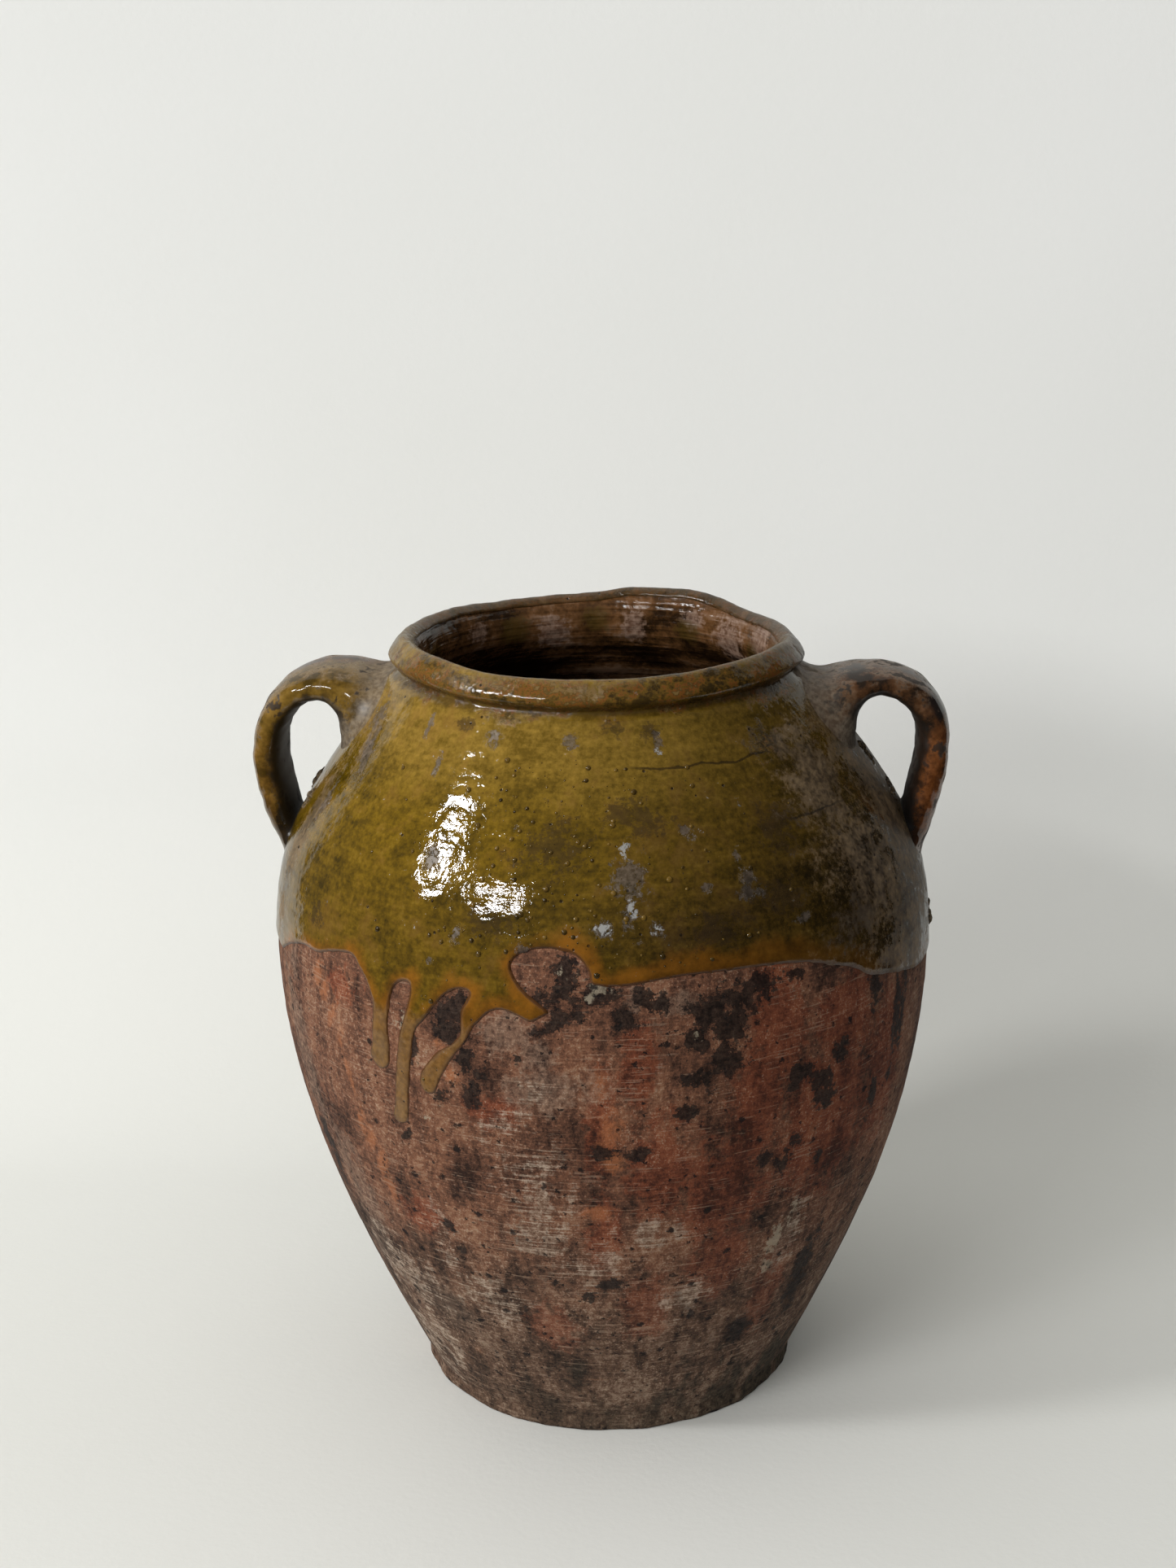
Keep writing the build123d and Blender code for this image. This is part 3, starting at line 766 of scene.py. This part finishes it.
coat = new_piece("glaze_coat_olive", skin_places, skin_faces)
paint(coat, "edge", np.tile(edge_depth, 2))
paint(coat, "run", np.tile(in_run, 2))
blistered = np.clip(1.2 - np.abs(turn - blisters_at) / blisters_reach, 0.12, 1)
blistered = blistered * (edge_depth > 1.5) * (section_z < blisters_top)
paint(coat, "blisters", np.concatenate([blistered, np.zeros(count)]))
marked(coat, "worn", [
    (9.4, 252.5, 9, 8.5), (9.3, 241.9, 4, 7, -20), (4.7, 236.9, 4.6, 3.2), (13.5, 236.4, 3.5, 3.6),
    (6.7, 233, 3.4, 1.5), (10.4, 232.7, 2.2, 1.5), (-60, 282, 7, 13, 30), (-66, 262, 4, 14),
    (-66, 293, 10, 7), (-62, 308, 14, 7), (80, 312, 8, 5), (21.4, 266.3, 3.8, 2.6),
    (-27.7, 256.3, 4.5, 4.5), (18.7, 294.7, 3.6, 4.5), (-41.7, 297, 2.4, 6), (-21.8, 297, 7, 4),
    (-34.1, 284.7, 2.2, 5), (-2, 297, 6, 3), (30, 256, 2.2, 4), (30.7, 250, 4, 4),
    (30.9, 244.3, 7.5, 2.6), (23.1, 248.1, 3.2, 2.4), (-12, 268, 2, 2), (-20, 232, 2.4, 3.4),
    (-8, 230, 4, 3, 30), (-24, 222, 2, 2), (40, 232, 4, 2), (150, 270, 8, 8), (200, 250, 10, 7),
    (240, 280, 6, 9),
])
marked(coat, "scuff", [
    (8.9, 263, 2.6, 4), (9.6, 243, 2.4, 4, -20), (4.9, 237, 3, 2), (13.4, 236.6, 2.4, 2.4),
    (6.7, 233, 2.2, 0.9), (18.7, 292.5, 2, 2),
])
marked(coat, "haze_and_sheen", [
    (56, 272, 26, 24), (58, 240, 32, 34), (68, 215, 26, 36), (60, 204, 14, 12), (78, 250, 34, 64),
    (98, 258, 40, 60), (50, 287, 12, 8), (-62, 284, 9, 14), (-69, 245, 9, 40), (130, 260, 30, 30),
    (220, 240, 30, 26),
])
marked(coat, "blotch", [
    (16.8, 299, 7, 4), (31, 244, 5, 6), (-52, 226, 6, 6), (40, 262, 16, 9), (24, 234, 18, 7),
    (36, 242, 14, 8), (-30, 300, 10, 3), (8, 300, 8, 3), (-4, 262, 20, 12), (12, 272, 18, 8),
    (-14, 238, 12, 8), (50, 226, 16, 12),
])
marked(coat, "brown", [
    (-10, 309, 60, 6), (30, 310, 46, 6), (-50, 310, 20, 6), (47, 290, 12, 8), (-20, 303, 12, 3),
    (60, 306, 30, 8), (180, 310, 180, 7),
])
passed_through(coat, hand, {**hand_of_potter, "Finish": olive_glaze})
standing_outwards(coat)
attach(coat, "root")
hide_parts("glaze_coat")


# The glaze inside: the same glaze poured round the pot and out again, thinner, so the clay
# shows through it red-brown. It runs from the mouth to the middle of the floor.
poured_thickness = 0.4
line = inside_line.copy()
step_in = -outward(line[::-1])[::-1] * poured_thickness
step_in[-1] = (0, poured_thickness)
poured = np.concatenate([line + step_in, (line - step_in * 0.6)[::-1]])
poured[len(line) - 1:len(line) + 1, 0] = 0
poured = np.concatenate([poured, poured[:1]])

lining = Finish("inside_glaze")
cloud = lining.noise(40, 4, 0.6)
mottle = lining.noise(420, 5, 0.65)
rings = lining.noise(260, 3, 0.5, stretch=(0.05, 0.05, 1))
lining.shade = lining.shades(
    cloud * 0.5 + mottle * 0.25 + rings * 0.25, (0.42, (40, 26, 14)), (0.48, (76, 51, 28)),
    (0.53, (100, 68, 40)), (0.60, (124, 96, 74)),
)
broken = mottle.swing(2.4) + cloud.swing(2.0) + rings.swing(1.2)
lilac = step_up(lining.mark("lilac") + broken * 0.7, 0.0, 0.5)
lining.cover(lilac * 0.75, mottle, (0.40, (104, 78, 64)), (0.62, (146, 122, 106)))
olive = step_up(lining.mark("olive") + broken * 0.8, 0.0, 0.5)
lining.cover(olive * 0.7, (66, 52, 20))
# Painted shade: deep inside the pot the glaze is painted near black, where little light reaches.
deep = step_up(lining.up + cloud.swing(0.03), 0.296, 0.268)
lining.cover(deep * 0.88, (20, 13, 8))
lining_relief = rings * 0.9 + lining.noise(80, 2) * 1.2 + mottle * 0.08
lining.shader.inputs["IOR"].default_value = 1.6
inside_glaze_finish = lining.done(0.08 + lilac * 0.14 + cloud * 0.06, lining_relief, 0.0018)
inner = thrown("poured_lining", poured, inside_glaze_finish)
marked(inner, "lilac", [
    (-160, 301, 15, 8), (171, 303, 13, 9), (132, 300, 20, 13), (112, 306, 20, 10),
    (-130, 306, 14, 5), (150, 308, 16, 5), (60, 300, 30, 12), (-40, 296, 30, 12), (10, 304, 24, 8),
])
marked(inner, "olive", [
    (-175, 306, 14, 7), (152, 303, 14, 9), (-145, 304, 16, 10), (118, 296, 14, 10),
    (96, 300, 18, 14), (-100, 300, 24, 14), (30, 300, 24, 14),
])
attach(inner, "root")
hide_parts("glaze_lining")


# The two handles: straps of clay pulled by hand, luted under the lip and bent down to the
# belly, then glazed with the pot. The upper roots are smeared wide on to the wall and the
# lower ones pinched, and each strap has its own bend, width and dents.

# A station gives how far down the wall from the collar it lies, how far off the wall, how it
# leans in degrees, and the strap's width and thickness there.
left_strap = (
    (21.0, -7.0, 35, 58.0, 42.0), (8.8, 7.5, 38, 50.0, 24.0), (3.8, 24.2, 5, 43.0, 14.2),
    (8.2, 34.3, -38, 38.0, 12.8), (18.5, 35.5, -66, 35.0, 12.0), (34.0, 28.2, -92, 35.0, 11.8),
    (52.0, 14.1, -99, 34.0, 11.8), (67.0, 2.2, -107, 31.0, 11.4), (82.0, -9.5, -114, 20.0, 9.0),
)
right_strap = (
    (21.0, -7.0, 35, 54.0, 42.0), (9.2, 8.6, 38, 44.0, 21.0), (3.4, 27.5, 0, 36.0, 10.8),
    (8.0, 37.0, -40, 33.0, 12.0), (18.0, 37.2, -68, 33.0, 13.0), (32.0, 28.7, -92, 33.0, 13.2),
    (50.0, 13.2, -101, 33.0, 13.5), (66.0, 1.2, -107, 30.0, 12.5), (82.0, -9.5, -114, 19.0, 9.0),
)
points_round = 64
root_depth = 2.4
side_round, top_round, under_round, pressed_rounder = 0.78, 0.92, 0.62, 0.5
smear_least, smear_on_top, smear_low = 3.0, 8.0, 4.0
wall_slopes = outward(fine_wall)


def to_wall(places):
    """How far places stand off the wall, and which way is straight off it, in millimetres."""
    flat_radius = np.hypot(places[:, 0], places[:, 1])
    wall_radius, off_r, off_z = (
        np.interp(places[:, 2], fine_wall[:, 1], values)
        for values in (fine_wall[:, 0], *wall_slopes.T)
    )
    off_x, off_y = places[:, :2].T / flat_radius * off_r
    off = np.stack([off_x, off_y, off_z], 1)
    return (flat_radius - wall_radius) * off_r, off


def strap(name, side, stations, seed):
    """A pulled strap on one side (1 right, -1 left), seated on the wall by a smeared fillet."""
    wall_at = [np.interp(collar_height - s[0], fine_wall[:, 1], fine_wall[:, 0]) for s in stations]
    course = [(r + s[1], collar_height - s[0], *s[2:]) for r, s in zip(wall_at, stations)]
    x, z, lean, width, thick = line_through(course, 0.8).T
    share = np.linspace(0, 1, len(x))[:, None]
    a = np.linspace(0, 2 * pi, points_round, endpoint=False)[None, :]
    c, s = np.cos(a), np.sin(a)
    pressed = np.clip(share * 4.0 - 2.8, 0, 1)  # rounder at the lower root
    across = np.sign(c) * np.abs(c) ** (side_round + pressed_rounder * pressed)
    top = np.abs(s) ** (top_round + pressed_rounder * pressed)
    out = np.where(s > 0, top, -np.abs(s) ** under_round)
    chance = np.random.default_rng(seed)
    dents = sum(
        chance.uniform(0.05, 0.13) * np.sin(2 * pi * m * share + n * a + chance.uniform(0, 6.3))
        for m, n in ((3, 1), (5, 2), (7, 1), (2, 3), (11, 2), (9, 4), (4, 5), (16, 3))
    )
    half_width = width[:, None] / 2 + dents * 0.8
    half_thick = thick[:, None] / 2 + dents * 0.6
    along = np.radians(lean)
    up_x, up_z = -np.sin(along)[:, None], np.cos(along)[:, None]
    px = x[:, None] + up_x * out * half_thick
    py = across * half_width
    pz = z[:, None] + up_z * out * half_thick
    places = np.stack([px, py, pz], 2)
    step_along = np.gradient(places, axis=0)
    step_round = np.roll(places, -1, 1) - np.roll(places, 1, 1)
    face = np.cross(step_round, step_along).reshape(-1, 3)
    face /= np.linalg.norm(face, axis=1)[:, None] + 1e-9
    places = places.reshape(-1, 3)
    if np.einsum("ij,ij->i", face, places - np.array([x.mean(), 0, z.mean()])).sum() < 0:
        face = -face
    off_wall, off = to_wall(places)
    upper = np.repeat(np.clip(1 - share[:, 0] * 2.6, 0, 1), points_round)
    on_top = np.tile(np.clip(out[0] * 0.5 + 0.5, 0, 1), len(x))
    lower = np.repeat(np.clip(share[:, 0] * 4.0 - 3.0, 0, 1), points_round)
    smear = smear_least + smear_on_top * upper * on_top + smear_low * lower
    near = np.clip(1 - off_wall / smear, 0, 1)
    sideways = face - np.einsum("ij,ij->i", face, off)[:, None] * off
    spread = smear * (1 - np.sqrt(np.clip(1 - near**2, 0, 1)))
    places = places + sideways * spread[:, None]
    off_wall, off = to_wall(places)
    places += off * np.maximum(-root_depth - off_wall, 0)[:, None]
    rings_count = len(x)
    faces = [
        (r * points_round + i, r * points_round + (i + 1) % points_round,
         (r + 1) * points_round + (i + 1) % points_round, (r + 1) * points_round + i)
        for r in range(rings_count - 1) for i in range(points_round)
    ]
    last = (rings_count - 1) * points_round
    faces += [tuple(range(points_round))[::-1], tuple(last + i for i in range(points_round))]
    places[:, 0] *= side
    piece = new_piece(name, places, faces)
    for paint_name, values in (
        ("course", np.repeat(share[:, 0], points_round)),
        ("outer", np.tile(out[0], rings_count)),
        ("front", np.tile(-across[0], rings_count)),
        ("wall", np.clip(off_wall, 0, 40)),
    ):
        paint(piece, paint_name, values)
    return piece


def strap_finish(name, olive_from, grime_from, ember_share, smoked_at, light, middle, deep):
    """The glaze of a strap. Olive and grime lie where their noise passes a level, and a smoked
    spot lies at a share of the strap's course; past 1 there is none."""
    made = Finish(name)
    mottle = made.noise(480, 5, 0.65)
    cloud = made.noise(70, 4, 0.6)
    patchy = made.noise(150, 5, 0.68)
    tone = mottle * 0.12 + cloud * 0.68 + patchy * 0.20
    made.shade = made.shades(tone, (0.42, deep), (0.50, middle), (0.58, light))
    olive = step_up(made.mark("front") + cloud.swing(3.0), olive_from, olive_from + 0.5)
    made.cover(olive * 0.85, tone, (0.42, (66, 50, 10)), (0.58, (128, 100, 34)))
    ember = step_up(made.mark("course") + cloud.swing(1.2), 0.40, 0.62) * ember_share
    made.cover(ember, patchy, (0.4, (92, 50, 20)), (0.6, (140, 84, 44)))
    off_spot = (made.mark("course") - smoked_at).do("ABSOLUTE") + patchy.swing(0.12)
    smoked = step_up(off_spot, 0.05, 0.02) * step_up(made.mark("outer"), 0.1, 0.6)
    made.cover(smoked * 0.85, (30, 27, 27))
    dusty = step_up(made.mark("outer") * 0.10 + patchy * 0.6 + cloud * 0.4, 0.54, 0.66)
    made.cover(dusty * 0.5, (128, 112, 94))
    grime = step_up(patchy * 0.5 + cloud * 0.5, grime_from, grime_from + 0.04)
    made.cover(grime * 0.85, (34, 26, 20))
    # Painted shade: the strap's inner face, towards the wall and the hole, is painted near black.
    inside = step_up(made.mark("outer") + patchy.swing(1.5), -0.1, -0.7)
    made.cover(inside * 0.9, (24, 17, 10))
    root_dust = step_up(made.mark("wall") + patchy.swing(24.0), 13.0, 3.0)
    root_dust = root_dust * step_up(made.mark("course"), 0.26, 0.12)
    made.cover(root_dust * 0.6, mottle, (0.4, (92, 78, 62)), (0.6, (134, 120, 100)))
    # Painted shade in the crease under the lower root, where the strap's underside meets the wall.
    root_crease_shade = step_up(made.mark("wall") + patchy.swing(20.0), 15.0, 4.0)
    low = step_up(made.mark("course"), 0.6, 0.8)
    root_crease_shade = root_crease_shade * step_up(made.mark("outer"), 0.75, -0.1)
    made.cover(root_crease_shade * low * 0.9, (20, 16, 13))
    relief = made.noise(60, 2) * 0.20 + made.noise(160, 2) * 0.10 + mottle * 0.05
    made.shader.inputs["IOR"].default_value = 1.6
    gloss = 0.08 + grime * 0.2 + dusty * 0.3 + inside * 0.45 + root_dust * 0.35
    return made.done(gloss, relief, 0.0008)


left_glaze = strap_finish(
    "left_strap_glaze", olive_from=-0.3, grime_from=0.545, ember_share=0.15, smoked_at=5.0,
    light=(140, 110, 76), middle=(112, 74, 38), deep=(52, 34, 16),
)
right_glaze = strap_finish(
    "right_strap_glaze", olive_from=1.3, grime_from=0.53, ember_share=0.75, smoked_at=0.42,
    light=(104, 80, 60), middle=(76, 50, 30), deep=(34, 24, 16),
)
handles = (
    ("strap_left", -1, left_strap, 3, left_glaze, "left"),
    ("strap_right", 1, right_strap, 5, right_glaze, "right"),
)
for name, side, stations, seed, finish, which in handles:
    handle = strap(name, side, stations, seed)
    passed_through(handle, hand, {**hand_of_potter, "Lip warp": 0.0, "Finish": finish})
    standing_outwards(handle)
    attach(handle, "root")
    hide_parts(f"handle_{which}", f"handle_glaze_{which}")


# Blisters in the glaze: gas came out of the clay in the kiln and left glassy beads, half a
# millimetre to two and a half across, which stand closest on the front of the shoulder.
blister_tree, given = shape_tree("blisters", ("Per square metre", "Smallest", "Spread"))
spread = blister_tree.nodes.new("GeometryNodeDistributePointsOnFaces")
where = node_in(
    blister_tree, "GeometryNodeInputNamedAttribute", {"Name": "blisters"}, data_type="FLOAT",
).do("MAXIMUM", 0.0)
give(spread.inputs["Mesh"], given["Shape"])
give(spread.inputs["Density"], (where ** 2.0) * given["Per square metre"])
spread.inputs["Seed"].default_value = 11
bead = node_in(
    blister_tree, "GeometryNodeMeshUVSphere", {"Segments": 8, "Rings": 5, "Radius": 1.0},
)
chance = node_in(
    blister_tree, "FunctionNodeRandomValue", {2: 0.0, 3: 1.0, "Seed": 4}, 1, data_type="FLOAT",
)
bead_size = given["Smallest"] + given["Spread"] * (chance ** 4.0)
bead_scale = joined(blister_tree, bead_size, bead_size, bead_size * 0.62)
beads = node_in(
    blister_tree, "GeometryNodeInstanceOnPoints",
    {"Points": Amount(spread.outputs["Points"]), "Instance": bead,
     "Rotation": Amount(spread.outputs["Rotation"]), "Scale": bead_scale},
)
end_tree(blister_tree, beads, given["Finish"])


def stuck_on(name, finish, sizes, spots=()):
    """Beads stuck on the glaze coat where its blisters are marked, or in spots of their own."""
    piece = new_piece(name, [(0, 0, 0)])
    rough = piece.data
    piece.data = coat.data.copy()
    bpy.data.meshes.remove(rough)
    if spots:
        piece.data.attributes.remove(piece.data.attributes["blisters"])
        marked(piece, "blisters", spots)
    passed_through(piece, blister_tree, {**sizes, "Finish": finish})
    return standing_outwards(piece)


beadglass = Finish("blister_glaze")
tone = beadglass.noise(90, 2)
beadglass.shade = beadglass.shades(tone, (0.4, (52, 39, 14)), (0.6, (104, 80, 30)))
beadglass.shader.inputs["IOR"].default_value = 1.62
bead_finish = beadglass.done(0.06 + tone * 0.05, tone, 0.0001)
blisters = stuck_on("blisters", bead_finish, {
    "Per square metre": 60000.0, "Smallest": 0.00020, "Spread": 0.00105,
})
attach(blisters, "root")


# Crumbs of grit and kiln dirt, up to five millimetres across, that stuck in the wet glaze
# under the handles and at the side.
crumbglaze = Finish("crumb_dirt")
tone = crumbglaze.noise(900, 2)
crumbglaze.shade = crumbglaze.shades(tone, (0.4, (52, 42, 29)), (0.6, (112, 94, 68)))
crumb_finish = crumbglaze.done(0.7 + tone * 0.1, tone, 0.0002)
crumb_sizes = {"Per square metre": 900000.0, "Smallest": 0.0006, "Spread": 0.0020}
crumbs = stuck_on("crumbs", crumb_finish, crumb_sizes, [
    (-80, 253, 7, 7), (-93, 254, 14, 5), (88, 268, 4, 8), (89, 254, 9, 4.5), (89, 199.5, 5, 7),
    (-100, 230, 8, 8),
])
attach(crumbs, "root")


# The floor and the wall behind: one sheet of pale paper that curves up. A window to the left
# of the camera, with a tall and a low part, is what the glossy surfaces mirror, and the rest
# of the room is dim. A camera behind the paper sees through it.
paper = Finish("pale_paper")
tone = paper.noise(3, 2)
paper.shade = paper.shades(tone, (0.3, (226, 227, 223)), (0.7, (231, 232, 229)))
across, _, up_sheet = parts_of(paper.place())
on_wall = step_up(up_sheet, 0.02, 0.22)
rays = paper.tree.nodes.new("ShaderNodeLightPath")
seen = Amount(rays.outputs["Is Camera Ray"])
mirrored = Amount(rays.outputs["Is Glossy Ray"])
# Painted shade: seen by the camera, the floor is painted darker than the wall.
paper.cover(seen * (1.0 - on_wall) * 0.5, (208, 208, 201))
# Painted shade in reflections: glossy surfaces mirror the paper darker than it is.
paper.cover(mirrored * 0.6, (150, 150, 146))
paper_finish = paper.done(0.9 + tone * 0.02, paper.noise(300, 3), 0.0001)
# Painted light: seen by the camera, the wall glows, a little more to the right.
paper.shader.inputs["Emission Color"].default_value = (1.0, 1.0, 0.985, 1.0)
painted_wall_light = seen * on_wall * (step_up(across, -0.30, 0.20) * 0.045 + 0.05)
give(paper.shader.inputs["Emission Strength"], painted_wall_light)
see_through = paper.tree.nodes.new("ShaderNodeBsdfTransparent")
one_sided = paper.tree.nodes.new("ShaderNodeMixShader")
behind_it = Amount(paper.tree.nodes.new("ShaderNodeNewGeometry").outputs["Backfacing"])
give(one_sided.inputs[0], behind_it * seen)
give(one_sided.inputs[1], Amount(paper.shader.outputs[0]))
give(one_sided.inputs[2], Amount(see_through.outputs[0]))
give(paper.tree.nodes["Material Output"].inputs["Surface"], Amount(one_sided.outputs[0]))
wall_distance, sweep_radius, sweep_steps = 320.0, 165.0, 24
half_span, near_edge, paper_top = 560.0, -235.0, 2400.0
sweep = [(near_edge, 0.0), (wall_distance - sweep_radius, 0.0)]
for k in range(1, sweep_steps + 1):
    a = k / sweep_steps * pi / 2
    sweep.append((
        wall_distance - sweep_radius + sweep_radius * sin(a), sweep_radius * (1 - cos(a)),
    ))
sweep.append((wall_distance, paper_top))
paper_places = []
for x in (-half_span, half_span):
    paper_places += [tuple(jar_turned @ Vector((x, y, z))) for y, z in sweep]
n = len(sweep)
backdrop = new_piece("backdrop", paper_places, [(i, i + n, i + n + 1, i + 1) for i in range(n - 1)])
backdrop.data.materials.append(paper_finish)
backdrop.data.polygons.foreach_set("use_smooth", [True] * (n - 1))

# Each lamp gives its side and height as seen from the jar in degrees, its distance, size and
# power, and whether it is mirrored. The last one stands for the bright wall by the window.
lamps_look_at = 0.2
lamps = (
    ("window", 68, 35, 3.2, (0.38, 0.58), 34.0, True),
    ("second_window", 44, 33, 3.2, (0.70, 0.17), 13.0, True),
    ("bright_side", 38, 21, 2.4, (0.9, 0.40), 17.0, False),
)
for name, side, height, distance, size, power, mirrored in lamps:
    lamp = bpy.data.objects.new(name, bpy.data.lights.new(name, "AREA"))
    lamp.data.shape = "RECTANGLE"
    lamp.data.size, lamp.data.size_y = size
    lamp.data.energy = power
    level_reach = cos(radians(height))
    toward = jar_turned @ Vector((
        -sin(radians(side)) * level_reach, -cos(radians(side)) * level_reach, sin(radians(height)),
    ))
    lamp.location = toward * distance + Vector((0, 0, lamps_look_at))
    lamp.rotation_euler = toward.to_track_quat("Z", "Y").to_euler()
    lamp.visible_glossy = mirrored
    bpy.context.scene.collection.objects.link(lamp)

room = bpy.data.worlds.new("room")
room.use_nodes = True
bpy.context.scene.world = room
sky = room.node_tree
sky_place = Amount(sky.nodes.new("ShaderNodeTexCoord").outputs["Generated"])
sx, _, sz = parts_of(sky_place)
glow = step_up(sx * -0.7 + sz * 0.6, -0.6, 0.9) * 0.74 + 0.14
rays = sky.nodes.new("ShaderNodeLightPath")
mirrored = Amount(rays.outputs["Is Glossy Ray"])
seen = Amount(rays.outputs["Is Camera Ray"])
glow = glow * (1.0 - mirrored * 0.90)
glow = glow + (0.78 - glow) * seen
give(sky.nodes["Background"].inputs["Strength"], glow)
sky.nodes["Background"].inputs["Color"].default_value = (1.0, 0.99, 0.97, 1.0)
bpy.context.scene.view_settings.view_transform = "Standard"
